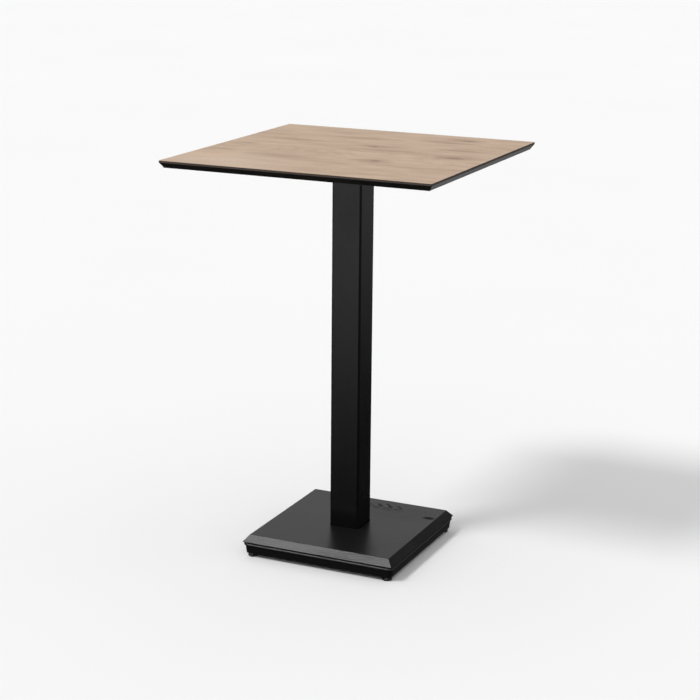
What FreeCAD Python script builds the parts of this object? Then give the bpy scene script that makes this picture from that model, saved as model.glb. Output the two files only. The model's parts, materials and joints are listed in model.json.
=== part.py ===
import FreeCAD, Part
import math
import os
import Sketcher
from FreeCAD import Vector

# Bar-height bistro table. Origin on the floor under the column, +Z up, X along the wood grain.
# Driving dimensions in millimetres.
SIZES = {
    # whole table
    "table_height": 1030, "fit_gap": 0.05,
    # tabletop: square, with an upright land over an undercut facet
    "top_side": 700, "top_thick": 18, "laminate_thick": 0.8, "laminate_arris": 0.4,
    "facet_drop": 13, "facet_inset": 9,
    # mounting plate, its screws and their inserts
    "top_plate_half": 150, "top_plate_thick": 5, "top_plate_corner": 10,
    "top_screw_far": 136, "top_screw_near": 80, "top_screw_hole": 3.3,
    "top_screw_shank": 3, "top_screw_length": 16, "top_screw_head": 6, "top_screw_head_deep": 3.6,
    "insert_outer": 5, "insert_length": 13,
    # column and the spigots inside its ends
    "column_half": 40, "column_wall": 2, "column_corner": 5,
    "locator_gap": 0.3, "locator_wall": 3, "locator_deep": 25,
    # tie rod, its nuts and washer
    "rod_radius": 6, "rod_hole": 6.75, "rod_end_chamfer": 1, "rod_top_gap": 1, "rod_tail": 0.5,
    "nut_across": 19, "nut_deep": 10.8, "washer_outer": 18.5, "washer_inner": 6.5, "washer_thick": 2.5,
    # base board: black-stained oak with a bevel over a small rebate
    "base_height": 58, "board_thick": 22, "board_half": 207, "board_top_half": 193,
    "bevel_drop": 18.5, "rebate_inset": 3, "board_opening_gap": 1.2,
    "board_screw_far": 172, "board_screw_near": 95, "board_screw_head": 4.4,
    "board_screw_sink": 2.4, "board_screw_shank": 2, "board_screw_length": 16,
    # base plate and cast weight
    "plate_thick": 4, "plate_corner": 12,
    "weight_thick": 22, "weight_half": 205, "weight_corner": 14, "weight_draft": 3,
    "nut_recess": 25, "nut_recess_deep": 14,
    "weight_screw_place": 120, "weight_screw_hole": 4.5, "weight_screw_shank": 4,
    "weight_screw_head": 6.5, "weight_screw_head_deep": 8, "weight_screw_sink": 7.5,
    "weight_screw_sink_deep": 9, "weight_screw_end_gap": 0.5,
    # levelling feet
    "foot_place": 187, "bush_outer": 8, "stem_radius": 5, "stem_top_gap": 0.5, "stem_chamfer": 1,
    "collar_across": 17, "collar_low": 6.2, "collar_deep": 3.3,
    "disc_radius": 8, "disc_low": 2, "disc_deep": 1.8, "socket_play": 0.2,
    "pad_radius": 12.5, "pad_deep": 6, "pad_foot_chamfer": 1, "pad_shoulder": 2,
}

# Heights and half sides that follow from the driving dimensions.
TOP_UNDERSIDE = "(Sizes.table_height - Sizes.top_thick)"
LAMINATE_LOW = "(Sizes.table_height - Sizes.laminate_thick)"
FACET_TOP = f"({TOP_UNDERSIDE} + Sizes.facet_drop)"
FACET_ANGLE = "atan(Sizes.facet_inset / Sizes.facet_drop)"
TOP_HALF = "(Sizes.top_side / 2)"
BACKER_TOP = f"({TOP_UNDERSIDE} + Sizes.laminate_thick)"
BACKER_HALF = (
    f"({TOP_HALF} - Sizes.facet_inset * (Sizes.facet_drop - Sizes.laminate_thick) / Sizes.facet_drop)"
)
TOP_PLATE_LOW = f"({TOP_UNDERSIDE} - Sizes.top_plate_thick)"
COLUMN_LOW = "(Sizes.base_height - Sizes.board_thick)"
COLUMN_INNER = "(Sizes.column_half - Sizes.column_wall)"
COLUMN_INNER_CORNER = "(Sizes.column_corner - Sizes.column_wall)"
WEIGHT_TOP = f"({COLUMN_LOW} - Sizes.plate_thick)"
WEIGHT_LOW = f"({WEIGHT_TOP} - Sizes.weight_thick)"
BEVEL_LOW = "(Sizes.base_height - Sizes.bevel_drop)"
RECESS_ROOF = f"({WEIGHT_LOW} + Sizes.nut_recess_deep)"
NUT_TOP = f"({RECESS_ROOF} - Sizes.washer_thick)"
NUT_LOW = f"({NUT_TOP} - Sizes.nut_deep)"

doc = FreeCAD.newDocument("BistroTable")
sheet = doc.addObject("Spreadsheet::Sheet", "Sizes")
sub_parts = []


def fill_sheet():
    for row, (name, value) in enumerate(SIZES.items(), start=1):
        sheet.set(f"A{row}", name)
        sheet.set(f"B{row}", str(value))
        sheet.setAlias(f"B{row}", name)
    doc.recompute()


def value_of(expression):
    return float(sheet.evalExpression(expression))


# ---- sketches ----

def new_body(label):
    body = doc.addObject("PartDesign::Body", label)
    body.Label = label
    sub_parts.append(body)
    return body


def origin_feature(body, role):
    return next(feature for feature in body.Origin.OriginFeatures if feature.Role == role)


def new_sketch(body, name, role):
    sketch = body.newObject("Sketcher::SketchObject", f"{body.Name}_{name}")
    sketch.AttachmentSupport = [(origin_feature(body, role), "")]
    sketch.MapMode = "FlatFace"
    return sketch


def level_sketch(body, name, height):
    """A sketch that lies flat at a height."""
    sketch = new_sketch(body, name, "XY_Plane")
    sketch.setExpression("AttachmentOffset.Base.z", height)
    return sketch


def constrain_point(sketch, geometry, point, x, y):
    """Hold one point of a piece of geometry at x, y from the sketch's origin."""
    for kind, expression, axis in (("DistanceX", x, -2), ("DistanceY", y, -1)):
        if expression == "0":
            sketch.addConstraint(Sketcher.Constraint("PointOnObject", geometry, point, axis))
        else:
            value = value_of(expression)
            index = sketch.addConstraint(Sketcher.Constraint(kind, -1, 1, geometry, point, value))
            sketch.setExpression(f"Constraints[{index}]", expression)


def constrain_radius(sketch, geometry, radius):
    index = sketch.addConstraint(Sketcher.Constraint("Radius", geometry, value_of(radius)))
    sketch.setExpression(f"Constraints[{index}]", radius)


def draw_circle(sketch, radius, x="0", y="0"):
    centre = Vector(value_of(x), value_of(y), 0)
    circle = sketch.addGeometry(Part.Circle(centre, Vector(0, 0, 1), value_of(radius)), False)
    constrain_point(sketch, circle, 3, x, y)
    constrain_radius(sketch, circle, radius)


def draw_polygon(sketch, points):
    corners = [Vector(value_of(x), value_of(y), 0) for x, y in points]
    count = len(corners)
    lines = []
    for number, corner in enumerate(corners):
        line = Part.LineSegment(corner, corners[(number + 1) % count])
        lines.append(sketch.addGeometry(line, False))
    for number, line in enumerate(lines):
        following = lines[(number + 1) % count]
        sketch.addConstraint(Sketcher.Constraint("Coincident", line, 2, following, 1))
    for line, (x, y) in zip(lines, points):
        constrain_point(sketch, line, 1, x, y)


def draw_square(sketch, half):
    signs = ((1, 1), (-1, 1), (-1, -1), (1, -1))
    draw_polygon(sketch, [(f"{x} * {half}", f"{y} * {half}") for x, y in signs])


def draw_rounded_square(sketch, half, corner):
    """A square centred on the origin with a quarter circle at each corner."""
    side = value_of(half)
    radius = value_of(corner)
    reach = side - radius
    arcs = []
    for quarter, (x, y) in enumerate(((1, 1), (-1, 1), (-1, -1), (1, -1))):
        circle = Part.Circle(Vector(x * reach, y * reach, 0), Vector(0, 0, 1), radius)
        start = quarter * math.pi / 2
        arc = sketch.addGeometry(Part.ArcOfCircle(circle, start, start + math.pi / 2), False)
        constrain_point(sketch, arc, 3, f"{x} * ({half} - {corner})", f"{y} * ({half} - {corner})")
        arcs.append(arc)
    constrain_radius(sketch, arcs[0], corner)
    for arc in arcs[1:]:
        sketch.addConstraint(Sketcher.Constraint("Equal", arcs[0], arc))
    ends = (
        (Vector(reach, side, 0), Vector(-reach, side, 0)),
        (Vector(-side, reach, 0), Vector(-side, -reach, 0)),
        (Vector(-reach, -side, 0), Vector(reach, -side, 0)),
        (Vector(side, -reach, 0), Vector(side, reach, 0)),
    )
    for number, (first, last) in enumerate(ends):
        line = sketch.addGeometry(Part.LineSegment(first, last), False)
        sketch.addConstraint(Sketcher.Constraint("Tangent", arcs[number], 2, line, 1))
        sketch.addConstraint(Sketcher.Constraint("Tangent", line, 2, arcs[(number + 1) % 4], 1))


def draw_hexagon(sketch, across):
    """A regular hexagon centred on the origin, with a corner on +X."""
    point_radius = f"{across} / (2 * cos(30 deg))"
    radius = value_of(point_radius)
    guide = sketch.addGeometry(Part.Circle(Vector(0, 0, 0), Vector(0, 0, 1), radius), True)
    constrain_point(sketch, guide, 3, "0", "0")
    constrain_radius(sketch, guide, point_radius)
    angles = [math.radians(60 * number) for number in range(6)]
    corners = [Vector(radius * math.cos(angle), radius * math.sin(angle), 0) for angle in angles]
    lines = []
    for number, corner in enumerate(corners):
        line = Part.LineSegment(corner, corners[(number + 1) % 6])
        lines.append(sketch.addGeometry(line, False))
    for number, line in enumerate(lines):
        following = lines[(number + 1) % 6]
        sketch.addConstraint(Sketcher.Constraint("Coincident", line, 2, following, 1))
        sketch.addConstraint(Sketcher.Constraint("PointOnObject", line, 1, guide))
    for line in lines[1:]:
        sketch.addConstraint(Sketcher.Constraint("Equal", lines[0], line))
    sketch.addConstraint(Sketcher.Constraint("PointOnObject", lines[0], 1, -1))


# ---- features ----

def pad(body, sketch, length, taper=None, down=False):
    """Raise a sketch, or sink it with down; a taper draws the sides in."""
    feature = body.newObject("PartDesign::Pad", f"{sketch.Name}_pad")
    feature.Profile = sketch
    feature.Reversed = down
    feature.setExpression("Length", length)
    if taper:
        feature.setExpression("TaperAngle", f"-1 * {taper}")
    doc.recompute()
    return feature


def confirm_cut(feature, before):
    if feature.Shape.Volume >= before - 1e-6:
        raise RuntimeError(f"{feature.Name} cut nothing")
    return feature


def pocket(body, sketch, depth):
    """Cut a sketch upwards from its own level."""
    before = body.Shape.Volume
    feature = body.newObject("PartDesign::Pocket", f"{sketch.Name}_pocket")
    feature.Profile = sketch
    feature.Reversed = True
    feature.setExpression("Length", depth)
    doc.recompute()
    return confirm_cut(feature, before)


def turned_sketch(body, name, points, x, y):
    """A half profile, radius against height, whose axis stands at x, y."""
    sketch = new_sketch(body, name, "XZ_Plane")
    sketch.setExpression("AttachmentOffset.Base.x", x)
    sketch.setExpression("AttachmentOffset.Base.z", f"-1 * {y}")
    draw_polygon(sketch, points)
    return sketch


def turned(body, name, points, x="0", y="0"):
    sketch = turned_sketch(body, name, points, x, y)
    feature = body.newObject("PartDesign::Revolution", f"{sketch.Name}_turned")
    feature.Profile = sketch
    feature.ReferenceAxis = (sketch, ["V_Axis"])
    feature.Angle = 360
    doc.recompute()
    return feature


def turned_cut(body, name, points, x="0", y="0"):
    before = body.Shape.Volume
    sketch = turned_sketch(body, name, points, x, y)
    feature = body.newObject("PartDesign::Groove", f"{sketch.Name}_groove")
    feature.Profile = sketch
    feature.ReferenceAxis = (sketch, ["V_Axis"])
    feature.Angle = 360
    doc.recompute()
    return confirm_cut(feature, before)


def repeat_four(body, features):
    """Repeat features at every quarter turn about the column's axis."""
    pattern = body.newObject("PartDesign::PolarPattern", f"{features[0].Name}_ring")
    pattern.Originals = features
    pattern.Axis = (origin_feature(body, "Z_Axis"), [""])
    pattern.Angle = 360
    pattern.Occurrences = 4
    body.Tip = pattern
    doc.recompute()


def ring_profile(inner, outer, low, high):
    return [(inner, low), (outer, low), (outer, high), (inner, high)]


def drill(body, name, radius, low, depth, places):
    """Round holes at the given places, repeated at every quarter turn."""
    holes = []
    for number, (x, y) in enumerate(places):
        sketch = level_sketch(body, f"{name}_{number}", low)
        draw_circle(sketch, radius, x, y)
        holes.append(pocket(body, sketch, depth))
    repeat_four(body, holes)


def drill_centre(body, name, radius, low, depth):
    sketch = level_sketch(body, name, low)
    draw_circle(sketch, radius)
    pocket(body, sketch, depth)


def pair_of_places(far, near):
    """Two places, either side of +X; a quarter-turn pattern makes eight of them."""
    return [(far, near), (far, f"(-1 * {near})")]


TOP_SCREW_PLACES = pair_of_places("Sizes.top_screw_far", "Sizes.top_screw_near")
BOARD_SCREW_PLACES = pair_of_places("Sizes.board_screw_far", "Sizes.board_screw_near")
WEIGHT_SCREW_PLACES = [("Sizes.weight_screw_place", "Sizes.weight_screw_place")]
FOOT_PLACES = [("Sizes.foot_place", "Sizes.foot_place")]


# ---- tabletop ----

def make_tabletop_laminate():
    body = new_body("tabletop_laminate")
    sketch = level_sketch(body, "sheet", LAMINATE_LOW)
    draw_square(sketch, TOP_HALF)
    sheet_pad = pad(body, sketch, "Sizes.laminate_thick")
    faces = sheet_pad.Shape.Faces
    top = max(range(len(faces)), key=lambda number: faces[number].CenterOfMass.z)
    arris = body.newObject("PartDesign::Chamfer", "laminate_arris_cut")
    arris.Base = (sheet_pad, [f"Face{top + 1}"])
    arris.setExpression("Size", "Sizes.laminate_arris")


def make_tabletop_core():
    body = new_body("tabletop_core")
    land = level_sketch(body, "land", FACET_TOP)
    draw_square(land, TOP_HALF)
    pad(body, land, f"{LAMINATE_LOW} - {FACET_TOP}")
    facet = level_sketch(body, "facet", FACET_TOP)
    draw_square(facet, TOP_HALF)
    pad(body, facet, f"{FACET_TOP} - {BACKER_TOP}", FACET_ANGLE, down=True)
    depth = "Sizes.insert_length - Sizes.laminate_thick"
    drill(body, "socket", "Sizes.insert_outer + Sizes.fit_gap", BACKER_TOP, depth, TOP_SCREW_PLACES)


def make_tabletop_backer():
    body = new_body("tabletop_backer")
    sketch = level_sketch(body, "sheet", BACKER_TOP)
    draw_square(sketch, BACKER_HALF)
    pad(body, sketch, "Sizes.laminate_thick", FACET_ANGLE, down=True)
    radius = "Sizes.insert_outer + Sizes.fit_gap"
    drill(body, "socket", radius, TOP_UNDERSIDE, "Sizes.laminate_thick", TOP_SCREW_PLACES)


def make_tabletop_inserts():
    body = new_body("tabletop_inserts")
    inner = "Sizes.top_screw_shank + Sizes.fit_gap"
    top = f"{TOP_UNDERSIDE} + Sizes.insert_length"
    profile = ring_profile(inner, "Sizes.insert_outer", TOP_UNDERSIDE, top)
    inserts = [
        turned(body, f"insert_{number}", profile, x, y)
        for number, (x, y) in enumerate(TOP_SCREW_PLACES)
    ]
    repeat_four(body, inserts)


# ---- mounting plate under the top ----

def make_top_plate():
    body = new_body("top_plate")
    sketch = level_sketch(body, "outline", TOP_PLATE_LOW)
    draw_rounded_square(sketch, "Sizes.top_plate_half", "Sizes.top_plate_corner")
    pad(body, sketch, "Sizes.top_plate_thick")
    thick = "Sizes.top_plate_thick"
    drill(body, "hole", "Sizes.top_screw_hole", TOP_PLATE_LOW, thick, TOP_SCREW_PLACES)


def make_top_plate_screws():
    body = new_body("top_plate_screws")
    head_low = f"{TOP_PLATE_LOW} - Sizes.top_screw_head_deep"
    tip = f"{TOP_PLATE_LOW} + Sizes.top_screw_length"
    profile = [
        ("0", head_low),
        ("Sizes.top_screw_head * 0.7", head_low),
        ("Sizes.top_screw_head", f"{TOP_PLATE_LOW} - Sizes.top_screw_head_deep * 0.6"),
        ("Sizes.top_screw_head", TOP_PLATE_LOW),
        ("Sizes.top_screw_shank", TOP_PLATE_LOW),
        ("Sizes.top_screw_shank", tip),
        ("0", tip),
    ]
    screws = [
        turned(body, f"screw_{number}", profile, x, y)
        for number, (x, y) in enumerate(TOP_SCREW_PLACES)
    ]
    repeat_four(body, screws)


def make_weld_nut():
    body = new_body("top_weld_nut")
    low = f"{TOP_PLATE_LOW} - Sizes.nut_deep"
    make_nut(body, low)


def make_nut(body, low):
    sketch = level_sketch(body, "hexagon", low)
    draw_hexagon(sketch, "Sizes.nut_across")
    draw_circle(sketch, "Sizes.rod_radius + Sizes.fit_gap")
    pad(body, sketch, "Sizes.nut_deep")


# ---- column ----

def make_column_tube():
    body = new_body("column_tube")
    sketch = level_sketch(body, "section", COLUMN_LOW)
    draw_rounded_square(sketch, "Sizes.column_half", "Sizes.column_corner")
    draw_rounded_square(sketch, COLUMN_INNER, COLUMN_INNER_CORNER)
    pad(body, sketch, f"{TOP_PLATE_LOW} - {COLUMN_LOW}")


def make_locator(label, low):
    """A square spigot that a column end slides over."""
    body = new_body(label)
    sketch = level_sketch(body, "section", low)
    outer = f"({COLUMN_INNER} - Sizes.locator_gap)"
    draw_rounded_square(sketch, outer, COLUMN_INNER_CORNER)
    draw_square(sketch, f"({outer} - Sizes.locator_wall)")
    pad(body, sketch, "Sizes.locator_deep")


# ---- tie rod ----

def make_tie_rod():
    body = new_body("tie_rod")
    low = f"{NUT_LOW} - Sizes.rod_tail"
    high = f"{TOP_PLATE_LOW} - Sizes.rod_top_gap"
    end_radius = "Sizes.rod_radius - Sizes.rod_end_chamfer"
    profile = [
        ("0", low),
        (end_radius, low),
        ("Sizes.rod_radius", f"{low} + Sizes.rod_end_chamfer"),
        ("Sizes.rod_radius", f"{high} - Sizes.rod_end_chamfer"),
        (end_radius, high),
        ("0", high),
    ]
    turned(body, "rod", profile)


def make_tie_rod_washer():
    body = new_body("tie_rod_washer")
    turned(body, "washer", ring_profile("Sizes.washer_inner", "Sizes.washer_outer", NUT_TOP, RECESS_ROOF))


def make_tie_rod_nut():
    make_nut(new_body("tie_rod_nut"), NUT_LOW)


# ---- base board ----

def make_base_board():
    body = new_body("base_board")
    foot = level_sketch(body, "rebate", COLUMN_LOW)
    draw_square(foot, "(Sizes.board_half - Sizes.rebate_inset)")
    pad(body, foot, f"{BEVEL_LOW} - {COLUMN_LOW}")
    slope = level_sketch(body, "bevel", BEVEL_LOW)
    draw_square(slope, "Sizes.board_half")
    bevel_angle = "atan((Sizes.board_half - Sizes.board_top_half) / Sizes.bevel_drop)"
    pad(body, slope, "Sizes.bevel_drop", bevel_angle)
    opening = level_sketch(body, "opening", COLUMN_LOW)
    gap = "Sizes.board_opening_gap"
    draw_rounded_square(opening, f"(Sizes.column_half + {gap})", f"(Sizes.column_corner + {gap})")
    pocket(body, opening, "Sizes.board_thick")
    radius = "Sizes.board_screw_shank + Sizes.fit_gap"
    depth = "Sizes.board_screw_length - Sizes.plate_thick + Sizes.fit_gap"
    drill(body, "pilot", radius, COLUMN_LOW, depth, BOARD_SCREW_PLACES)


def make_base_board_screws():
    body = new_body("base_board_screws")
    tip = f"{WEIGHT_TOP} + Sizes.board_screw_length"
    profile = [
        ("0", WEIGHT_TOP),
        ("Sizes.board_screw_head", WEIGHT_TOP),
        ("Sizes.board_screw_shank", f"{WEIGHT_TOP} + Sizes.board_screw_sink"),
        ("Sizes.board_screw_shank", f"{tip} - Sizes.board_screw_shank"),
        ("0", tip),
    ]
    screws = [
        turned(body, f"screw_{number}", profile, x, y)
        for number, (x, y) in enumerate(BOARD_SCREW_PLACES)
    ]
    repeat_four(body, screws)


# ---- base plate and weight ----

def make_base_plate():
    body = new_body("base_plate")
    sketch = level_sketch(body, "outline", WEIGHT_TOP)
    draw_rounded_square(sketch, "Sizes.board_half", "Sizes.plate_corner")
    pad(body, sketch, "Sizes.plate_thick")
    drill_centre(body, "rod_hole", "Sizes.rod_hole", WEIGHT_TOP, "Sizes.plate_thick")
    thread = "Sizes.weight_screw_shank + Sizes.fit_gap"
    drill(body, "thread", thread, WEIGHT_TOP, "Sizes.plate_thick", WEIGHT_SCREW_PLACES)
    hole = "Sizes.board_screw_shank + Sizes.fit_gap"
    sunk = [
        ("0", WEIGHT_TOP),
        ("Sizes.board_screw_head + Sizes.fit_gap", WEIGHT_TOP),
        (hole, f"{WEIGHT_TOP} + Sizes.board_screw_sink"),
        (hole, COLUMN_LOW),
        ("0", COLUMN_LOW),
    ]
    cuts = [
        turned_cut(body, f"countersink_{number}", sunk, x, y)
        for number, (x, y) in enumerate(BOARD_SCREW_PLACES)
    ]
    repeat_four(body, cuts)


def make_base_weight():
    body = new_body("base_weight")
    sketch = level_sketch(body, "outline", WEIGHT_TOP)
    draw_rounded_square(sketch, "Sizes.weight_half", "Sizes.weight_corner")
    pad(body, sketch, "Sizes.weight_thick", "atan(Sizes.weight_draft / Sizes.weight_thick)", down=True)
    drill_centre(body, "nut_recess", "Sizes.nut_recess", WEIGHT_LOW, "Sizes.nut_recess_deep")
    drill_centre(body, "rod_hole", "Sizes.rod_hole", WEIGHT_LOW, "Sizes.weight_thick")
    bush = "Sizes.bush_outer + Sizes.fit_gap"
    drill(body, "bush_bore", bush, WEIGHT_LOW, "Sizes.weight_thick", FOOT_PLACES)
    seat = f"{WEIGHT_LOW} + Sizes.weight_screw_sink_deep"
    stepped = [
        ("0", WEIGHT_LOW),
        ("Sizes.weight_screw_sink", WEIGHT_LOW),
        ("Sizes.weight_screw_sink", seat),
        ("Sizes.weight_screw_hole", seat),
        ("Sizes.weight_screw_hole", WEIGHT_TOP),
        ("0", WEIGHT_TOP),
    ]
    cuts = [
        turned_cut(body, f"counterbore_{number}", stepped, x, y)
        for number, (x, y) in enumerate(WEIGHT_SCREW_PLACES)
    ]
    repeat_four(body, cuts)


def make_base_weight_screws():
    body = new_body("base_weight_screws")
    seat = f"{WEIGHT_LOW} + Sizes.weight_screw_sink_deep"
    head_low = f"{seat} - Sizes.weight_screw_head_deep"
    tip = f"{COLUMN_LOW} - Sizes.weight_screw_end_gap"
    profile = [
        ("0", head_low),
        ("Sizes.weight_screw_head", head_low),
        ("Sizes.weight_screw_head", seat),
        ("Sizes.weight_screw_shank", seat),
        ("Sizes.weight_screw_shank", tip),
        ("0", tip),
    ]
    screws = [
        turned(body, f"screw_{number}", profile, x, y)
        for number, (x, y) in enumerate(WEIGHT_SCREW_PLACES)
    ]
    repeat_four(body, screws)


# ---- levelling feet ----

def make_foot_bushes():
    body = new_body("foot_bushes")
    inner = "Sizes.stem_radius + Sizes.fit_gap"
    profile = ring_profile(inner, "Sizes.bush_outer", WEIGHT_LOW, WEIGHT_TOP)
    bushes = [
        turned(body, f"bush_{number}", profile, x, y)
        for number, (x, y) in enumerate(FOOT_PLACES)
    ]
    repeat_four(body, bushes)


def place_foot(body, side_x, side_y):
    body.setExpression("Placement.Base.x", f"{side_x} * Sizes.foot_place")
    body.setExpression("Placement.Base.y", f"{side_y} * Sizes.foot_place")


def make_foot_stem(corner, side_x, side_y):
    """A threaded stem; its end disc turns in the pad and its collar takes a spanner."""
    body = new_body(f"foot_stem_{corner}")
    place_foot(body, side_x, side_y)
    disc_top = "Sizes.disc_low + Sizes.disc_deep"
    stem_top = f"{WEIGHT_TOP} - Sizes.stem_top_gap"
    profile = [
        ("0", "Sizes.disc_low"),
        ("Sizes.disc_radius", "Sizes.disc_low"),
        ("Sizes.disc_radius", disc_top),
        ("Sizes.stem_radius", disc_top),
        ("Sizes.stem_radius", f"{stem_top} - Sizes.stem_chamfer"),
        ("Sizes.stem_radius - Sizes.stem_chamfer", stem_top),
        ("0", stem_top),
    ]
    turned(body, "stem", profile)
    collar = level_sketch(body, "collar", "Sizes.collar_low")
    draw_hexagon(collar, "Sizes.collar_across")
    pad(body, collar, "Sizes.collar_deep")


def make_foot_pad(corner, side_x, side_y):
    """A round glide pad with a socket that holds the stem's end disc."""
    body = new_body(f"foot_pad_{corner}")
    place_foot(body, side_x, side_y)
    throat = "Sizes.stem_radius + Sizes.fit_gap"
    socket = "Sizes.disc_radius + Sizes.fit_gap"
    socket_top = "Sizes.disc_low + Sizes.disc_deep + Sizes.socket_play"
    profile = [
        ("0", "0"),
        ("Sizes.pad_radius - Sizes.pad_foot_chamfer", "0"),
        ("Sizes.pad_radius", "Sizes.pad_foot_chamfer"),
        ("Sizes.pad_radius", "Sizes.pad_deep - Sizes.pad_shoulder"),
        ("Sizes.pad_radius - Sizes.pad_shoulder", "Sizes.pad_deep"),
        (throat, "Sizes.pad_deep"),
        (throat, socket_top),
        (socket, socket_top),
        (socket, "Sizes.disc_low"),
        ("0", "Sizes.disc_low"),
    ]
    turned(body, "pad", profile)


FOOT_CORNERS = {
    "front_left": (-1, -1),
    "front_right": (1, -1),
    "back_left": (-1, 1),
    "back_right": (1, 1),
}


def make_table():
    fill_sheet()
    make_tabletop_laminate()
    make_tabletop_core()
    make_tabletop_backer()
    make_tabletop_inserts()
    make_top_plate()
    make_top_plate_screws()
    make_locator("top_locator", f"{TOP_PLATE_LOW} - Sizes.locator_deep")
    make_weld_nut()
    make_column_tube()
    make_locator("bottom_locator", COLUMN_LOW)
    make_tie_rod()
    make_tie_rod_washer()
    make_tie_rod_nut()
    make_base_board()
    make_base_board_screws()
    make_base_plate()
    make_base_weight()
    make_base_weight_screws()
    make_foot_bushes()
    for corner, (side_x, side_y) in FOOT_CORNERS.items():
        make_foot_pad(corner, side_x, side_y)
        make_foot_stem(corner, side_x, side_y)
    doc.recompute()


def check_table():
    """Stop if any object failed or any sub-part's shape is empty or broken."""
    for item in doc.Objects:
        if "Invalid" in item.State or "Error" in item.State:
            raise RuntimeError(f"{item.Name} failed: {item.State}")
    for body in sub_parts:
        if body.Shape.isNull() or not body.Shape.isValid():
            raise RuntimeError(f"{body.Label} has no valid shape")


def write_table():
    os.makedirs("parts", exist_ok=True)
    for body in sub_parts:
        body.Shape.exportStep(f"parts/{body.Label}.step")
        box = body.Shape.BoundBox
        print(
            f"{body.Label}: {len(body.Shape.Solids)} solids, {body.Shape.Volume:.0f} mm3, "
            f"z {box.ZMin:.2f} to {box.ZMax:.2f}, x {box.XMin:.2f} to {box.XMax:.2f}"
        )


make_table()
check_table()
write_table()
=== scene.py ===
import json
import math

import bmesh
import bpy
from mathutils import Matrix, Vector

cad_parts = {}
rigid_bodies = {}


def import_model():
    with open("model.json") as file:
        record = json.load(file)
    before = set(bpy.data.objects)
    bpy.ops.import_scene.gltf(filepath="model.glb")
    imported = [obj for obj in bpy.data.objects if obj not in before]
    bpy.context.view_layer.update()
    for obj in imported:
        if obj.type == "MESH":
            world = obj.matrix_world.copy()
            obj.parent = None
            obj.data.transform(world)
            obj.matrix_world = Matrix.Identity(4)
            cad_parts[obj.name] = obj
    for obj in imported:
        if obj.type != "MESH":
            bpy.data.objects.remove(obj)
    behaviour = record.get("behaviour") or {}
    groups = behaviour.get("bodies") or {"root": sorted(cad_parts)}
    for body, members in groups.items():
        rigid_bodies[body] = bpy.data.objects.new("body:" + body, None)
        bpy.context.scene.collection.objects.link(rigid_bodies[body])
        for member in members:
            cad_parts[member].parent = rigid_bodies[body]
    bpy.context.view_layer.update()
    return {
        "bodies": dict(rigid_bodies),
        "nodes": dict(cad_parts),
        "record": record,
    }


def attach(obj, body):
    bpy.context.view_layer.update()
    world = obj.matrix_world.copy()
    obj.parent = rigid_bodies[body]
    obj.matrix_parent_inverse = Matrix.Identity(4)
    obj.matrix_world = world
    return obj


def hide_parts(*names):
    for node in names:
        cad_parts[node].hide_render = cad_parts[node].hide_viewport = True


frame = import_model()

MM = 0.001
FULL_TURN = 2 * math.pi
# The side of the table that each corner is on, along X and along Y.
CORNERS = {
    "front_left": (-1, -1), "front_right": (1, -1),
    "back_left": (-1, 1), "back_right": (1, 1),
}


# ---- materials: places and sizes in metres ----

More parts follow.
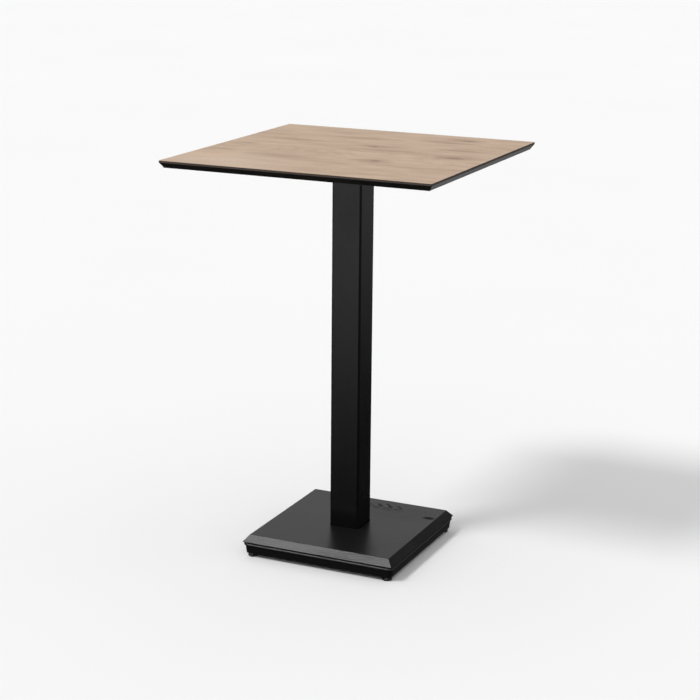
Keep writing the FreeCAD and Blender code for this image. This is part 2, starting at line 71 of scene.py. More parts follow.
class Finish:
    """A material under construction: helpers that add nodes and join them."""

    def __init__(self, name):
        self.material = bpy.data.materials.new(name)
        self.material.use_nodes = True
        self.tree = self.material.node_tree
        self.tree.nodes.clear()
        self.place = self.add("ShaderNodeTexCoord").outputs["Object"]

    def add(self, kind, inputs=None, **settings):
        node = self.tree.nodes.new(kind)
        for name, value in settings.items():
            setattr(node, name, value)
        for socket, value in (inputs or {}).items():
            self.feed(node, socket, value)
        return node

    def feed(self, node, socket, value):
        """Link a socket to another node's output, or set its own value."""
        if isinstance(value, bpy.types.NodeSocket):
            self.tree.links.new(value, node.inputs[socket])
        else:
            node.inputs[socket].default_value = value

    def split(self, vector):
        """The X, Y and Z of a vector."""
        return self.add("ShaderNodeSeparateXYZ", {"Vector": vector}).outputs

    def upward(self):
        """How far the surface faces up: 1 on top, 0 on a side, -1 underneath."""
        return self.split(self.add("ShaderNodeTexCoord").outputs["Normal"])["Z"]

    def stretched(self, x, y, z, source=None):
        """The object's place scaled by x, y, z: features shrink as the factors grow."""
        inputs = {"Vector": source or self.place, "Scale": (x, y, z)}
        return self.add("ShaderNodeMapping", inputs).outputs["Vector"]

    def noise(self, vector, scale=1.0, detail=4.0, rough=0.5, distortion=0.0):
        """A soft random pattern from 0 to 1, with about scale features in each metre."""
        inputs = {
            "Vector": vector, "Scale": scale, "Detail": detail,
            "Roughness": rough, "Distortion": distortion,
        }
        return self.add("ShaderNodeTexNoise", inputs).outputs["Fac"]

    def maths(self, operation, first, second=0.5, third=0.5):
        inputs = {0: first, 1: second, 2: third}
        return self.add("ShaderNodeMath", inputs, operation=operation).outputs[0]

    def span(self, value, low, high, to_low=0.0, to_high=1.0):
        """Map low..high onto to_low..to_high, held at the ends."""
        inputs = {
            "Value": value, "From Min": low, "From Max": high,
            "To Min": to_low, "To Max": to_high,
        }
        return self.add("ShaderNodeMapRange", inputs).outputs["Result"]

    def ease(self, value, low, high, to_high=1.0):
        """Map low..high onto 0..to_high along a smooth step, held at the ends."""
        inputs = {
            "Value": value, "From Min": low, "From Max": high,
            "To Min": 0.0, "To Max": to_high,
        }
        node = self.add("ShaderNodeMapRange", inputs, interpolation_type="SMOOTHSTEP")
        return node.outputs["Result"]

    def ramp(self, value, stops):
        node = self.add("ShaderNodeValToRGB", {"Fac": value})
        ends = node.color_ramp.elements
        for _ in stops[2:]:
            ends.new(0.5)
        for end, (position, colour) in zip(ends, stops):
            end.position = position
            end.color = (*colour, 1.0)
        return node.outputs["Color"]

    def mix(self, factor, first, second):
        """From the first colour to the second; sockets 6 and 7 are the node's colour inputs."""
        node = self.add("ShaderNodeMix", data_type="RGBA")
        for socket, value in zip((0, 6, 7), (factor, first, second)):
            self.feed(node, socket, (*value, 1.0) if isinstance(value, tuple) else value)
        return node.outputs[2]

    def bump(self, height, distance, strength=1.0):
        inputs = {"Height": height, "Distance": distance, "Strength": strength}
        return self.add("ShaderNodeBump", inputs).outputs["Normal"]

    def done(self, **sockets):
        """Close the tree with the surface shader; keywords name its sockets."""
        inputs = {name.replace("_", " "): value for name, value in sockets.items()}
        shader = self.add("ShaderNodeBsdfPrincipled", inputs)
        self.add("ShaderNodeOutputMaterial", {"Surface": shader.outputs[0]})
        return self.material


def growth_rings(finish, source, centre_y, depth, slope, spacing, waver):
    """Flat-sawn grain: rings round an axis that dives under the board along X, numbered."""
    x, y, _ = finish.split(source)
    sideways = finish.maths("SUBTRACT", y, centre_y)
    down = finish.maths("MULTIPLY_ADD", x, slope, depth)
    across = finish.maths("MULTIPLY", sideways, sideways)
    radius = finish.maths("SQRT", finish.maths("MULTIPLY_ADD", down, down, across))
    return finish.maths("DIVIDE", finish.maths("ADD", waver, radius), spacing)


def near_spot(finish, x, y, reach_x, reach_y):
    """1 at a spot seen from above, falling to 0 at an ellipse round it."""
    inputs = {"Vector": finish.place, "Location": (-x / reach_x, -y / reach_y, 0.0)}
    inputs["Scale"] = (1 / reach_x, 1 / reach_y, 0.0)
    offset = finish.add("ShaderNodeMapping", inputs).outputs["Vector"]
    length = finish.add("ShaderNodeVectorMath", {0: offset}, operation="LENGTH")
    return finish.ease(length.outputs["Value"], 1.0, 0.0)


# Spots on the printed oak: place x, y, then half length along and across the grain.
OAK_KNOTS = (
    (0.013, 0.086, 0.020, 0.010), (0.262, 0.005, 0.034, 0.012),
    (0.110, -0.116, 0.018, 0.011), (0.198, 0.279, 0.024, 0.009),
)
OAK_SMUDGES = (
    (0.105, -0.112, 0.050, 0.040), (-0.301, -0.116, 0.045, 0.014),
    (-0.131, -0.151, 0.11, 0.035), (0.060, 0.040, 0.10, 0.020),
    (0.235, 0.120, 0.08, 0.020), (-0.080, 0.200, 0.09, 0.020),
    (0.270, 0.010, 0.07, 0.036), (0.025, 0.092, 0.07, 0.026),
    (0.190, 0.285, 0.06, 0.028), (-0.292, 0.000, 0.035, 0.012),
    (0.150, 0.230, 0.10, 0.016), (-0.200, 0.110, 0.12, 0.014),
)
# The front left corner's pale patch is painted sheen: light painted into the oak's colour,
# fading out away from the corner.
OAK_PAINTED_SHEEN_SPOT = (-0.230, -0.270, 0.26, 0.20)
OAK_WARM_CORNER = (-0.293, -0.201, 0.14, 0.07)
# How many half lengths away a spot has faded out, and the grain starts to bow round a knot.
SPOT_REACH, BOW_REACH = 1.6, 4.5
BOW_STRENGTH = -0.75

# The oak's colours, from its darkest tone to its palest, then those of its marks and of its
# painted sheen.
OAK_TONES = [
    (0.22, (0.36, 0.235, 0.150)),
    (0.44, (0.475, 0.335, 0.230)),
    (0.60, (0.535, 0.390, 0.275)),
    (0.80, (0.600, 0.450, 0.330)),
]
SMUDGE_BROWN = (0.27, 0.160, 0.095)
KNOT_BROWN = (0.12, 0.064, 0.036)
# The colour of the painted sheen on the front left corner.
PAINTED_SHEEN_OAK = (0.66, 0.52, 0.40)
WARM_OAK = (0.64, 0.42, 0.27)
PORE_BROWN = (0.20, 0.125, 0.08)
SHEET_EDGE_BROWN = (0.045, 0.028, 0.020)


def flow_round_knots(finish):
    """The object's place, its y pushed aside near each knot so that the grain bows round it."""
    x, y, _ = finish.split(finish.place)
    for knot_x, knot_y, reach_x, reach_y in OAK_KNOTS:
        near = near_spot(finish, knot_x, knot_y, BOW_REACH * reach_x, BOW_REACH * reach_y)
        away = finish.maths("SUBTRACT", y, knot_y)
        bow = finish.maths("MULTIPLY", near, BOW_STRENGTH)
        y = finish.maths("MULTIPLY_ADD", bow, away, y)
    return finish.add("ShaderNodeCombineXYZ", {"X": x, "Y": y}).outputs["Vector"]


def spots(finish, places, low, high, ragged):
    """Where a group of spots shows, with a ragged edge."""
    shown = 0.0
    for x, y, reach_x, reach_y in places:
        near = near_spot(finish, x, y, SPOT_REACH * reach_x, SPOT_REACH * reach_y)
        near = finish.maths("ADD", near, ragged)
        shown = finish.maths("MAXIMUM", finish.span(near, low, high), shown)
    return shown


def oak_latewood(finish, bowed):
    """The dark end of each growth ring: 0 where it starts, 1 at the ring's edge."""
    warp = finish.noise(finish.stretched(3, 9, 0, bowed), detail=3.0)
    waver = finish.maths("MULTIPLY", warp, 0.055)
    rings = growth_rings(finish, bowed, -0.06, 0.17, 0.11, 0.0075, waver)
    return finish.span(finish.maths("FRACT", rings), 0.35, 1.0)


def oak_tone(finish, bowed, streak, fibre, latewood):
    """How pale the oak is: patterns from broad to fine, less the lines of its latewood."""
    broad = finish.noise(finish.stretched(2.2, 9, 0, bowed), detail=3.0, distortion=0.5)
    band = finish.noise(finish.stretched(4.5, 40, 0, bowed), detail=4.0, rough=0.55)
    blotch = finish.noise(finish.stretched(10, 26, 0, bowed), detail=3.0, rough=0.5)
    shares = ((broad, 0.45), (band, 0.45), (blotch, 0.50), (streak, 0.50), (fibre, 0.30))
    tone = 0.5
    for pattern, share in shares:
        off_middle = finish.maths("SUBTRACT", pattern, 0.5)
        tone = finish.maths("MULTIPLY_ADD", off_middle, share, tone)
    lines = finish.maths("MULTIPLY", latewood, finish.span(streak, 0.35, 0.60))
    tone = finish.maths("MULTIPLY_ADD", lines, -0.16, tone)
    return finish.maths("ADD", tone, 0.035)


def oak_marks_and_painted_sheen(finish, colour, streak):
    """Smudges of heartwood, then knots, then painted sheen that makes the front left corner
    paler, then a warmer patch at that corner.
    """
    ragged = finish.maths("MULTIPLY", finish.maths("SUBTRACT", streak, 0.5), 1.1)
    marks_and_painted_sheen = (
        (spots(finish, OAK_SMUDGES, 0.25, 0.9, ragged), 0.46, SMUDGE_BROWN),
        (spots(finish, OAK_KNOTS, 0.35, 0.85, ragged), 0.55, KNOT_BROWN),
        # Painted sheen: the front left corner is painted paler, as if more light fell on it.
        (near_spot(finish, *OAK_PAINTED_SHEEN_SPOT), 0.55, PAINTED_SHEEN_OAK),
        (near_spot(finish, *OAK_WARM_CORNER), 0.35, WARM_OAK),
    )
    for shown, share, tint in marks_and_painted_sheen:
        colour = finish.mix(finish.maths("MULTIPLY", shown, share), colour, tint)
    return colour


def oak_laminate():
    """Printed oak with its grain along X; the thin side of the sheet is dark."""
    finish = Finish("oak_laminate")
    bowed = flow_round_knots(finish)
    streak = finish.noise(finish.stretched(16, 190, 0, bowed), detail=4.0, rough=0.6)
    fibre = finish.noise(finish.stretched(40, 900, 0, bowed), detail=3.0, rough=0.6)
    latewood = oak_latewood(finish, bowed)
    tone = oak_tone(finish, bowed, streak, fibre, latewood)
    colour = oak_marks_and_painted_sheen(finish, finish.ramp(tone, OAK_TONES), streak)
    fine = finish.noise(finish.stretched(70, 1100, 0, bowed), detail=2.0)
    in_latewood = finish.span(latewood, 0.0, 0.8, 0.35, 1.0)
    pores = finish.maths("MULTIPLY", finish.span(fine, 0.55, 0.66), in_latewood)
    colour = finish.mix(finish.maths("MULTIPLY", pores, 0.45), colour, PORE_BROWN)
    colour = finish.mix(finish.span(finish.upward(), 0.95, 0.5), colour, SHEET_EDGE_BROWN)
    rough = finish.span(fibre, 0.3, 0.7, 0.46, 0.58)
    normal = finish.bump(finish.maths("SUBTRACT", fibre, pores), 0.05 * MM, 0.5)
    return finish.done(
        Base_Color=colour, Roughness=rough, Normal=normal, Specular_IOR_Level=0.35)


# The arched grain on the base board, behind the column: the place of its first tip, the
# distance between tips, how blunt they are, and how steep and how lopsided their arms are.
ARCHES = {
    "tip_x": 0.081, "tip_y": 0.144, "spacing": 0.028,
    "blunt": 0.004, "steep": 1.65, "lopsided": -0.55,
}
ARCHES_ZONE = (0.040, 0.143, 0.075, 0.036)
BOARD_KNOT = (0.174, 0.114, 0.024, 0.014)
BOARD_TONES = [(0.3, (0.004, 0.004, 0.0045)), (0.7, (0.009, 0.009, 0.010))]
BOARD_GRAIN = (0.002, 0.002, 0.002)


def arched_grain(finish, waver):
    """A row of arches whose tips point along X, faded out away from their zone."""
    blunt, steep = ARCHES["blunt"], ARCHES["steep"]
    x, y, _ = finish.split(finish.place)
    sideways = finish.maths("SUBTRACT", y, ARCHES["tip_y"])
    across = finish.maths("MULTIPLY_ADD", sideways, sideways, blunt * blunt)
    arm = finish.maths("MULTIPLY_ADD", finish.maths("SQRT", across), steep, -steep * blunt)
    arm = finish.maths("MULTIPLY_ADD", sideways, ARCHES["lopsided"], arm)
    arm = finish.maths("ADD", arm, finish.maths("MULTIPLY", waver, 0.5))
    along = finish.maths("ADD", finish.maths("SUBTRACT", x, ARCHES["tip_x"]), arm)
    arches = finish.maths("DIVIDE", along, ARCHES["spacing"])
    wave = finish.maths("COSINE", finish.maths("MULTIPLY", arches, FULL_TURN))
    zone = finish.span(near_spot(finish, *ARCHES_ZONE), 0.0, 0.6)
    return finish.maths("MULTIPLY", zone, finish.span(wave, 0.0, 0.8))


def straight_grain(finish, waver):
    """Faint growth rings over the rest of the base board, in patches."""
    rings = growth_rings(finish, finish.place, 0.135, 0.043, 0.30, 0.0042, waver)
    wave = finish.maths("SINE", finish.maths("MULTIPLY", rings, FULL_TURN))
    patch = finish.noise(finish.stretched(3, 8, 8), detail=2.0)
    patch = finish.span(patch, 0.50, 0.75, 0.0, 0.25)
    return finish.maths("MULTIPLY", patch, finish.span(wave, -0.1, 0.75))


def black_oak():
    """Black-stained oak with its grain along X: the open grain is sunk, darker and duller."""
    finish = Finish("black_oak")
    warp = finish.noise(finish.stretched(9, 22, 22), detail=3.0)
    waver = finish.maths("MULTIPLY", finish.maths("SUBTRACT", warp, 0.5), 0.012)
    fibre = finish.noise(finish.stretched(18, 700, 700), detail=3.0, rough=0.6)
    pores = finish.noise(finish.stretched(70, 800, 800), detail=2.0)
    pores = finish.span(pores, 0.40, 0.54)
    grain = finish.maths("MAXIMUM", arched_grain(finish, waver), straight_grain(finish, waver))
    knot = finish.span(near_spot(finish, *BOARD_KNOT), 0.0, 0.8)
    grain = finish.maths("MAXIMUM", finish.maths("MULTIPLY", grain, pores), knot)
    colour = finish.mix(grain, finish.ramp(fibre, BOARD_TONES), BOARD_GRAIN)
    rough = finish.span(grain, 0.0, 1.0, 0.30, 0.85)
    height = finish.maths("MULTIPLY_ADD", grain, -1.0, finish.maths("MULTIPLY", fibre, 0.3))
    normal = finish.bump(height, 0.5 * MM, 1.0)
    return finish.done(
        Base_Color=colour, Roughness=rough, Normal=normal, Specular_IOR_Level=0.195)


CORE_SIDE_TONES = [(0.35, (0.034, 0.023, 0.017)), (0.65, (0.056, 0.039, 0.030))]
# The facet's colours are painted shade: near black because the facet faces down, under the edge.
CORE_FACET_PAINTED_SHADE_TONES = [(0.3, (0.005, 0.0045, 0.004)), (0.7, (0.010, 0.009, 0.008))]


def black_core():
    """Dense pressed board: browner on its sanded upright side; the facet, which faces down, is
    painted near black as painted shade.
    """
    finish = Finish("black_core")
    fibre = finish.noise(finish.stretched(60, 60, 900), detail=3.0)
    cloud = finish.noise(finish.place, scale=30.0, detail=4.0)
    # The down-facing facet is glossier, and is painted near black as painted shade.
    facet = finish.span(finish.upward(), -0.15, -0.40)
    side_colour = finish.ramp(fibre, CORE_SIDE_TONES)
    colour = finish.mix(facet, side_colour, finish.ramp(cloud, CORE_FACET_PAINTED_SHADE_TONES))
    rough = finish.span(facet, 0.0, 1.0, 0.62, 0.36)
    normal = finish.bump(fibre, 0.08 * MM, 0.5)
    return finish.done(Base_Color=colour, Roughness=rough, Normal=normal)


def powder_coat(name, colour, rough, shine=0.5):
    """A smooth dark coat with faint orange peel and slightly uneven gloss."""
    finish = Finish(name)
    peel = finish.noise(finish.place, scale=900.0, detail=2.0)
    cloud = finish.noise(finish.place, scale=14.0, detail=4.0)
    tint = finish.mix(cloud, tuple(0.8 * part for part in colour), colour)
    roughness = finish.span(cloud, 0.3, 0.7, rough - 0.012, rough + 0.012)
    normal = finish.bump(peel, 0.06 * MM, 0.6)
    return finish.done(
        Base_Color=tint, Roughness=roughness, Normal=normal, Specular_IOR_Level=shine)


ZINC_DARK, ZINC_PALE = (0.50, 0.51, 0.52), (0.68, 0.68, 0.67)


def zinc():
    """Zinc-plated steel: a cloudy grey metal."""
    finish = Finish("zinc_steel")
    fine = finish.noise(finish.place, scale=2200.0, detail=2.0)
    cloud = finish.noise(finish.place, scale=160.0, detail=3.0)
    tint = finish.mix(cloud, ZINC_DARK, ZINC_PALE)
    rough = finish.span(cloud, 0.3, 0.7, 0.30, 0.46)
    normal = finish.bump(fine, 0.01 * MM, 0.4)
    return finish.done(Base_Color=tint, Metallic=0.75, Roughness=rough, Normal=normal)


COAT_BLACK = (0.0022, 0.0022, 0.0024)
PLATE_BLACK = (0.012, 0.012, 0.012)
IRON_BLACK = (0.0035, 0.0035, 0.0035)
BACKER_BLACK = (0.02, 0.02, 0.02)
NYLON_BLACK = (0.015, 0.015, 0.015)

FINISHES = {
    "oak_laminate": oak_laminate(),
    "black_core": black_core(),
    "black_backer": powder_coat("black_backer", BACKER_BLACK, rough=0.6),
    "black_powder_coat": powder_coat("black_powder_coat", COAT_BLACK, rough=0.21, shine=0.245),
    "black_plate": powder_coat("black_plate", PLATE_BLACK, rough=0.30),
    "black_oak": black_oak(),
    "black_cast_iron": powder_coat("black_cast_iron", IRON_BLACK, rough=0.55, shine=0.15),
    "zinc_steel": zinc(),
    "black_nylon": powder_coat("black_nylon", NYLON_BLACK, rough=0.5),
}


# ---- mesh helpers: sizes in millimetres, half sides from the axis, heights from the floor ----

ROUND_POINTS = 36
RINGS_PER_PITCH = 8
# A thread's flank: how steeply it falls, in depths per pitch, and how far its crest reaches.
FLANK_SLOPE, FLANK_START = 2.6, 0.15
SHARP = math.radians(32)


def turned(radius, angle, height):
    """A point out at a radius, turned round the axis by an angle."""
    return (radius * math.cos(angle), radius * math.sin(angle), height)


def square_ring(half, corner, height, steps):
    """Points round a square with round corners, anticlockwise from above."""
    centre = half - corner
    ring = []
    for quarter, (side_x, side_y) in enumerate(((1, 1), (-1, 1), (-1, -1), (1, -1))):
        for step in range(steps + 1):
            x, y, _ = turned(corner, math.radians(90.0 * (quarter + step / steps)), height)
            ring.append((side_x * centre + x, side_y * centre + y, height))
    return ring


def round_rings(*profile):
    """Rings from pairs of radius and height."""
    angles = [FULL_TURN * number / ROUND_POINTS for number in range(ROUND_POINTS)]
    return [[turned(radius, angle, height) for angle in angles] for radius, height in profile]


def hexagon_ring(across, height, chamfer=0.0):
    """A hexagon whose corners drop, or rise if negative, where a turned chamfer cuts them."""
    ring = []
    for number in range(ROUND_POINTS):
        angle = FULL_TURN * number / ROUND_POINTS
        off_flat = (angle + math.pi / 6) % (math.pi / 3) - math.pi / 6
        radius = across / 2 / math.cos(off_flat)
        ring.append(turned(radius, angle, height - chamfer * (radius - across / 2)))
    return ring


def thread_ring(outer, depth, pitch, height):
    """One ring of a screw thread: its radius follows the helix round."""
    ring = []
    for number in range(ROUND_POINTS):
        turn = (height / pitch - number / ROUND_POINTS) % 1.0
        flank = min(max(FLANK_SLOPE * abs(turn - 0.5) - FLANK_START, 0.0), 1.0)
        ring.append(turned(outer - depth * flank, FULL_TURN * number / ROUND_POINTS, height))
    return ring


def thread_rings(outer, depth, pitch, low, high):
    steps = math.ceil((high - low) / pitch * RINGS_PER_PITCH)
    heights = (low + (high - low) * step / steps for step in range(steps + 1))
    return [thread_ring(outer, depth, pitch, height) for height in heights]


def skin(mesh, rings, loop=False, place=(0.0, 0.0)):
    """Faces between neighbouring rings; the ends are capped unless the rings make a loop."""
    levels = []
    for ring in rings:
        points = (((x + place[0]) * MM, (y + place[1]) * MM, z * MM) for x, y, z in ring)
        levels.append([mesh.verts.new(point) for point in points])
    pairs = list(zip(levels, levels[1:]))
    if loop:
        pairs.append((levels[-1], levels[0]))
    for low, high in pairs:
        for number in range(len(low)):
            after = (number + 1) % len(low)
            mesh.faces.new((low[number], low[after], high[after], high[number]))
    if not loop:
        mesh.faces.new(list(reversed(levels[0])))
        mesh.faces.new(levels[-1])


def mesh_object(name, mesh, material):
    """Turn a bmesh into an object in the scene."""
    data = bpy.data.meshes.new(name)
    mesh.to_mesh(data)
    mesh.free()
    data.materials.append(material)
    made = bpy.data.objects.new(name, data)
    bpy.context.scene.collection.objects.link(made)
    return made


def finish_piece(name, mesh, slot, body, replaced):
    """Turn a bmesh into a shaded piece that rides a body and stands for a CAD node."""
    bmesh.ops.recalc_face_normals(mesh, faces=mesh.faces)
    piece = mesh_object(name, mesh, FINISHES[slot])
    piece.data.shade_smooth()
    piece.data.set_sharp_from_angle(angle=SHARP)
    shading = piece.modifiers.new("even_shading", "WEIGHTED_NORMAL")
    shading.keep_sharp = True
    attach(piece, body)
    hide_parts(replaced)


def eased(centre_half, centre_height, radius, start, end, steps=4):
    """Half sides and heights along a rounded edge, from one direction in degrees to another."""
    stops = []
    for step in range(steps + 1):
        angle = math.radians(start + (end - start) * step / steps)
        half = centre_half + radius * math.cos(angle)
        stops.append((half, centre_height + radius * math.sin(angle)))
    return stops


def chamfered(half, low, high, chamfer):
    """Half sides and heights up a wall, both ends cut towards the axis, or away if negative."""
    cut = abs(chamfer)
    return [(half - chamfer, low), (half, low + cut), (half, high - cut), (half - chamfer, high)]


# ---- pieces ----

FOOT_PLACE = 187.0
TOP_HALF, TOP_CORNER = 350.0, 3.0
LAMINATE_LOW, LAMINATE_HIGH = 1029.2, 1030.0
# The centres of the tube's corner radii, which the board's opening shares.
TUBE_CORNER_PLACE = 35.0
TUBE_LOW, TUBE_HIGH = 36.0, 1007.0
BOARD_LOW, BOARD_HIGH, BEVEL_ANGLE = 36.0, 58.0, 37
PLATE_HALF, PLATE_CORNER, PLATE_LOW, PLATE_HIGH = 207.0, 12.0, 32.0, 36.0
COARSE_PITCH, FOOT_PITCH, ROD_PITCH = 1.25, 1.5, 1.75


def make_laminate():
    """Thin sheet whose upper edge is eased."""
    mesh = bmesh.new()
    ease = 0.4
    profile = [(TOP_HALF, LAMINATE_LOW)]
    profile += eased(TOP_HALF - ease, LAMINATE_HIGH - ease, ease, 0, 90)
    skin(mesh, [square_ring(half, TOP_CORNER - (TOP_HALF - half), height, 6)
                for half, height in profile])
    finish_piece("tabletop_surface", mesh, "oak_laminate", "table", "tabletop_laminate")


def make_core():
    """Upright side over an undercut facet, the edge between them rounded by sanding."""
    mesh = bmesh.new()
    sanding = 1.0
    facet = [(341.55, 1012.8), (349.4, 1024.2)]
    sanded = eased(TOP_HALF - sanding, 1025.2, sanding, -35, 0)
    profile = facet + sanded + [(TOP_HALF, LAMINATE_LOW)]
    skin(mesh, [square_ring(half, TOP_CORNER, height, 6) for half, height in profile])
    finish_piece("tabletop_edge", mesh, "black_core", "table", "tabletop_core")


def make_column():
    """Square tube, its sawn ends deburred inside and out."""
    mesh = bmesh.new()
    outside = chamfered(40.0, TUBE_LOW, TUBE_HIGH, 0.4)
    inside = chamfered(38.0, TUBE_LOW, TUBE_HIGH, -0.3)
    profile = outside + inside[::-1]
    rings = [square_ring(half, half - TUBE_CORNER_PLACE, height, 10) for half, height in profile]
    skin(mesh, rings, loop=True)
    finish_piece("column", mesh, "black_powder_coat", "table", "column_tube")


def make_board():
    """Board over a small rebate, with a wide bevel between two softened edges."""
    mesh = bmesh.new()
    rebate = [(204.0, BOARD_LOW), (204.0, 39.5), (206.2, 39.5)]
    nose = eased(206.1, 40.4, 0.9, -90, BEVEL_ANGLE, 5)
    softening = 1.5
    shoulder = eased(192.0, BOARD_HIGH - softening, softening, BEVEL_ANGLE, 90, 5)
    outside = rebate + nose + shoulder
    opening = [(41.8, BOARD_HIGH), (41.2, BOARD_HIGH - 0.6), (41.2, BOARD_LOW)]
    rings = [square_ring(half, 1.2, height, 4) for half, height in outside]
    rings += [square_ring(half, half - TUBE_CORNER_PLACE, height, 4) for half, height in opening]
    skin(mesh, rings, loop=True)
    finish_piece("base_top_board", mesh, "black_oak", "table", "base_board")


def make_plate():
    """Steel plate, its upper edge rounded over so that it catches the light under the board."""
    mesh = bmesh.new()
    rounding = 2.4
    outside = [(PLATE_HALF - 0.6, PLATE_LOW), (PLATE_HALF, PLATE_LOW + 0.6)]
    outside += eased(PLATE_HALF - rounding, PLATE_HIGH - rounding, rounding, 0, 90, 6)
    opening = [(41.0, PLATE_HIGH), (40.4, PLATE_HIGH - 0.4)]
    opening += [(40.4, PLATE_LOW + 0.4), (41.0, PLATE_LOW)]
    rings = [square_ring(half, PLATE_CORNER - (PLATE_HALF - half), height, 8)
             for half, height in outside]
    rings += [square_ring(half, 3.0, height, 8) for half, height in opening]
    skin(mesh, rings, loop=True)
    finish_piece("base_steel_plate", mesh, "black_plate", "table", "base_plate")


def make_foot_stem(corner, side_x, side_y):
    """Disc in the pad, neck, chamfered hexagon collar, then the thread up into the bush."""
    mesh = bmesh.new()
    rings = round_rings((7.6, 2.0), (8.0, 2.4), (8.0, 3.5), (7.7, 3.8))
    rings += round_rings((4.6, 3.8), (4.6, 6.2), (8.2, 6.2))
    rings += [hexagon_ring(17.0, 6.5, -0.5), hexagon_ring(17.0, 9.2, 0.5)]
    rings += round_rings((8.2, 9.5), (4.3, 9.5))
    rings += thread_rings(5.0, 0.8, FOOT_PITCH, 9.8, 30.6)
    rings += round_rings((4.0, 31.1), (3.6, 31.5))
    skin(mesh, rings, place=(side_x * FOOT_PLACE, side_y * FOOT_PLACE))
    stem = f"foot_stem_{corner}"
    finish_piece(f"foot_screw_{corner}", mesh, "zinc_steel", stem, stem)


def screw_rings(head_radius, head_low, head_high, socket, socket_deep, shank, tip):
    """A screw whose head faces down: hexagon socket, rounded head, then a threaded shank."""
    deep = head_low + socket_deep
    rings = round_rings((0.4, deep))
    rings += [hexagon_ring(socket, deep), hexagon_ring(socket, head_low + 0.3)]
    rings += round_rings(
        (socket / 2 + 0.9, head_low), (head_radius - 0.9, head_low),
        (head_radius - 0.25, head_low + 0.35), (head_radius, head_low + 1.0),
        (head_radius, head_high), (shank * 0.82, head_high))
    rings += thread_rings(shank, shank * 0.16, COARSE_PITCH, head_high + 0.3, tip - 1.0)
    rings += round_rings((shank * 0.5, tip))
    return rings


def make_screws(name, replaced, places, rings):
    """One piece for a whole set of the same screw."""
    mesh = bmesh.new()
    for place in places:
        skin(mesh, rings, place=place)
    finish_piece(name, mesh, "zinc_steel", "table", replaced)


def make_top_plate_screws():
    """Eight, two near each corner of the mounting plate."""
    far, near = 136, 80
    places = [(side_x * x, side_y * y) for x, y in ((far, near), (near, far))
              for side_x in (-1, 1) for side_y in (-1, 1)]
    rings = screw_rings(
        head_radius=6.0, head_low=1003.4, head_high=1007.0,
        socket=4.0, socket_deep=2.0, shank=3.0, tip=1023.0)
    make_screws("plate_screws", "top_plate_screws", places, rings)


def make_weight_screws():
    """Four, through the weight into the plate over it."""
    places = [(side_x * 120, side_y * 120) for side_x in (-1, 1) for side_y in (-1, 1)]
    rings = screw_rings(
        head_radius=6.5, head_low=11.0, head_high=19.0,
        socket=6.0, socket_deep=4.0, shank=4.0, tip=35.5)
    make_screws("weight_screws", "base_weight_screws", places, rings)


def make_rod_nut():
    """Hexagon nut, chamfered on both faces and at both ends of its bore."""
    mesh = bmesh.new()
    rings = round_rings((9.0, 10.7))
    rings += [hexagon_ring(19.0, 11.1, -0.5), hexagon_ring(19.0, 21.1, 0.5)]
    rings += round_rings((9.0, 21.5), (6.6, 21.5), (6.1, 21.0), (6.1, 11.2), (6.6, 10.7))
    skin(mesh, rings, loop=True)
    finish_piece("rod_nut", mesh, "zinc_steel", "table", "tie_rod_nut")


def make_rod():
    """Tie rod, threaded at both ends only."""
    mesh = bmesh.new()
    rings = round_rings((4.9, 10.2), (5.3, 10.7))
    rings += thread_rings(6.0, 0.9, ROD_PITCH, 11.0, 60.0)
    rings += round_rings((5.4, 60.5), (5.4, 980.0))
    rings += thread_rings(6.0, 0.9, ROD_PITCH, 980.5, 1005.2)
    rings += round_rings((4.9, 1006.0))
    skin(mesh, rings)
    finish_piece("threaded_rod", mesh, "zinc_steel", "table", "tie_rod")


def make_pieces():
    make_laminate()
    make_core()
    make_column()
    make_board()
    make_plate()
    make_top_plate_screws()
    make_weight_screws()
    make_rod_nut()
    make_rod()
    for corner, (side_x, side_y) in CORNERS.items():
        make_foot_stem(corner, side_x, side_y)


def finish_cad_nodes():
    """Give each carried-over CAD node the finish that the record names for it."""
    slots = {part["node"]: part["material_slot"] for part in frame["record"]["subparts"]}
    for node, piece in frame["nodes"].items():
        piece.data.materials.clear()
        piece.data.materials.append(FINISHES[slots[node]])


# ---- room, light and camera: sizes in metres ----

# The floor's grid lines: even round the feet, then out to past the backdrop.
FLOOR_STEP, FLOOR_NEAR = 0.02, 0.5
FLOOR_FAR = [0.7, 1.2, 2.0, 4.0, 8.0, 16.0, 40.0, 80.0]
FLOOR_GREY, FLOOR_PALE = (0.90, 0.90, 0.90), (0.92, 0.92, 0.92)
DIP_REACH = 0.3
BACKDROP_RADIUS, BACKDROP_GLOW = 60.0, 0.95

# The studio's light by height of direction: dark below the horizon, pale near it and above.
SKY = {"dark_below": -0.29, "pale_above": -0.01, "low": 0.015, "high": 0.90}
# Brighter and dimmer round patches of it: toward, inner and outer angle in degrees, strength.
GLOWS = (
    ((-0.40, -0.90, -0.20), 1.5, 6, 3.2),
    ((0.0, 0.90, -0.44), 4, 15, 0.8),
    ((0.42, 0.86, 0.32), 10, 28, -0.72),
)
KEY = {"toward": (-0.40, -0.52, 0.75), "spread": 13.5, "strength": 1.47}

# Angles in degrees, lens and sensor width in millimetres.
CAMERA = {
    "azimuth": 24.48, "elevation": 15.13, "roll": 0.53, "distance": 4.616,
    "lens": 93.58, "sensor": 36.0, "aim_height": 0.5217, "aim_side": -0.0045,
}


def floor_lines():
    """Grid positions along one side of the floor."""
    steps = round(2 * FLOOR_NEAR / FLOOR_STEP)
    near = [step * FLOOR_STEP - FLOOR_NEAR for step in range(steps + 1)]
    return [-distance for distance in reversed(FLOOR_FAR)] + near + FLOOR_FAR


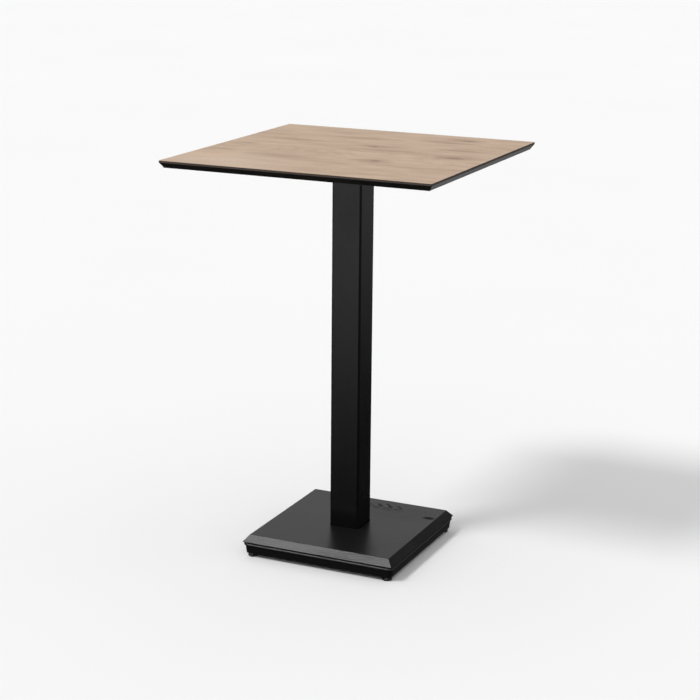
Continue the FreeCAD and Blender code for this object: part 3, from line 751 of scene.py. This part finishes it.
def floor_finish():
    """Pale from above and see-through from below, to show the table's underside."""
    pale = Finish("pale_floor")
    cloud = pale.noise(pale.place, scale=0.8, detail=2.0)
    tint = pale.mix(cloud, FLOOR_GREY, FLOOR_PALE)
    matt = pale.add("ShaderNodeBsdfDiffuse", {"Color": tint}).outputs[0]
    clear = pale.add("ShaderNodeBsdfTransparent").outputs[0]
    below = pale.add("ShaderNodeNewGeometry").outputs["Backfacing"]
    surface = pale.add("ShaderNodeMixShader", {0: below, 1: matt, 2: clear}).outputs[0]
    pale.add("ShaderNodeOutputMaterial", {"Surface": surface})
    return pale.material


def add_dip(floor, corner, side_x, side_y):
    """Let the floor follow one foot's pad down, less and less away from it."""
    dip = floor.modifiers.new(f"dip_{corner}", "HOOK")
    dip.object = frame["bodies"][f"foot_pad_{corner}"]
    dip.vertex_group = "whole"
    dip.center = (side_x * FOOT_PLACE * MM, side_y * FOOT_PLACE * MM, 0.0)
    dip.falloff_type = "SMOOTH"
    dip.falloff_radius = DIP_REACH


def make_floor():
    """A plain floor that dips under a foot screwed out, as the uneven floor that it levels."""
    mesh = bmesh.new()
    lines = floor_lines()
    grid = [[mesh.verts.new((x, y, 0.0)) for x in lines] for y in lines]
    for row, next_row in zip(grid, grid[1:]):
        for number in range(len(lines) - 1):
            after = number + 1
            mesh.faces.new((row[number], row[after], next_row[after], next_row[number]))
    floor = mesh_object("floor", mesh, floor_finish())
    floor.data.shade_smooth()
    whole = floor.vertex_groups.new(name="whole")
    whole.add(range(len(floor.data.vertices)), 1.0, "REPLACE")
    for corner, (side_x, side_y) in CORNERS.items():
        add_dip(floor, corner, side_x, side_y)
    floor.visible_glossy = False


def make_backdrop():
    """A far pale surround that only the camera sees, for a plain background in low views."""
    mesh = bmesh.new()
    bmesh.ops.create_uvsphere(mesh, u_segments=48, v_segments=24, radius=BACKDROP_RADIUS)
    pale = Finish("pale_backdrop")
    surface = pale.add("ShaderNodeEmission", {"Strength": BACKDROP_GLOW}).outputs[0]
    pale.add("ShaderNodeOutputMaterial", {"Surface": surface})
    backdrop = mesh_object("backdrop", mesh, pale.material)
    backdrop.visible_diffuse = False
    backdrop.visible_glossy = False
    backdrop.visible_transmission = False
    backdrop.visible_shadow = False


class Studio(Finish):
    """The room's soft light: the same helpers, on the world's node tree."""

    def __init__(self):
        world = bpy.data.worlds.new("studio")
        world.use_nodes = True
        bpy.context.scene.world = world
        self.tree = world.node_tree
        self.tree.nodes.clear()
        self.place = self.add("ShaderNodeTexCoord").outputs["Generated"]

    def glow(self, toward, inner, outer, strength):
        """A soft round patch, full inside one angle and gone past another."""
        inputs = {0: self.place, 1: Vector(toward).normalized()}
        facing = self.add("ShaderNodeVectorMath", inputs, operation="DOT_PRODUCT")
        edge, full = math.cos(math.radians(outer)), math.cos(math.radians(inner))
        return self.ease(facing.outputs["Value"], edge, full, strength)


def make_soft_light():
    studio = Studio()
    height = studio.split(studio.place)["Z"]
    light = studio.span(height, SKY["dark_below"], SKY["pale_above"], SKY["low"], SKY["high"])
    for toward, inner, outer, strength in GLOWS:
        light = studio.maths("ADD", light, studio.glow(toward, inner, outer, strength))
    background = studio.add("ShaderNodeBackground", {"Strength": light}).outputs[0]
    studio.add("ShaderNodeOutputWorld", {"Surface": background})


def make_key_light():
    key = bpy.data.objects.new("key", bpy.data.lights.new("key", "SUN"))
    bpy.context.scene.collection.objects.link(key)
    key.data.energy = KEY["strength"]
    key.data.angle = math.radians(KEY["spread"])
    key.rotation_euler = Vector(KEY["toward"]).to_track_quat("Z", "Y").to_euler()


def make_camera():
    """The photograph's viewing angle, fitted to the table's corners."""
    azimuth = math.radians(CAMERA["azimuth"])
    elevation = math.radians(CAMERA["elevation"])
    level = math.cos(elevation)
    back = Vector((math.sin(azimuth) * level, -math.cos(azimuth) * level, math.sin(elevation)))
    right = Vector((math.cos(azimuth), math.sin(azimuth), 0.0))
    turn = Matrix((right, back.cross(right), back)).transposed()
    turn = turn @ Matrix.Rotation(math.radians(CAMERA["roll"]), 3, "Z")
    camera = bpy.data.objects.new("camera", bpy.data.cameras.new("camera"))
    bpy.context.scene.collection.objects.link(camera)
    aim = Vector((0.0, 0.0, CAMERA["aim_height"])) + right * CAMERA["aim_side"]
    camera.location = aim + back * CAMERA["distance"]
    camera.rotation_euler = turn.to_euler()
    camera.data.lens = CAMERA["lens"]
    camera.data.sensor_width = CAMERA["sensor"]
    bpy.context.scene.camera = camera


make_pieces()
finish_cad_nodes()
make_floor()
make_backdrop()
make_soft_light()
make_key_light()
make_camera()
bpy.context.scene.view_settings.view_transform = "Standard"
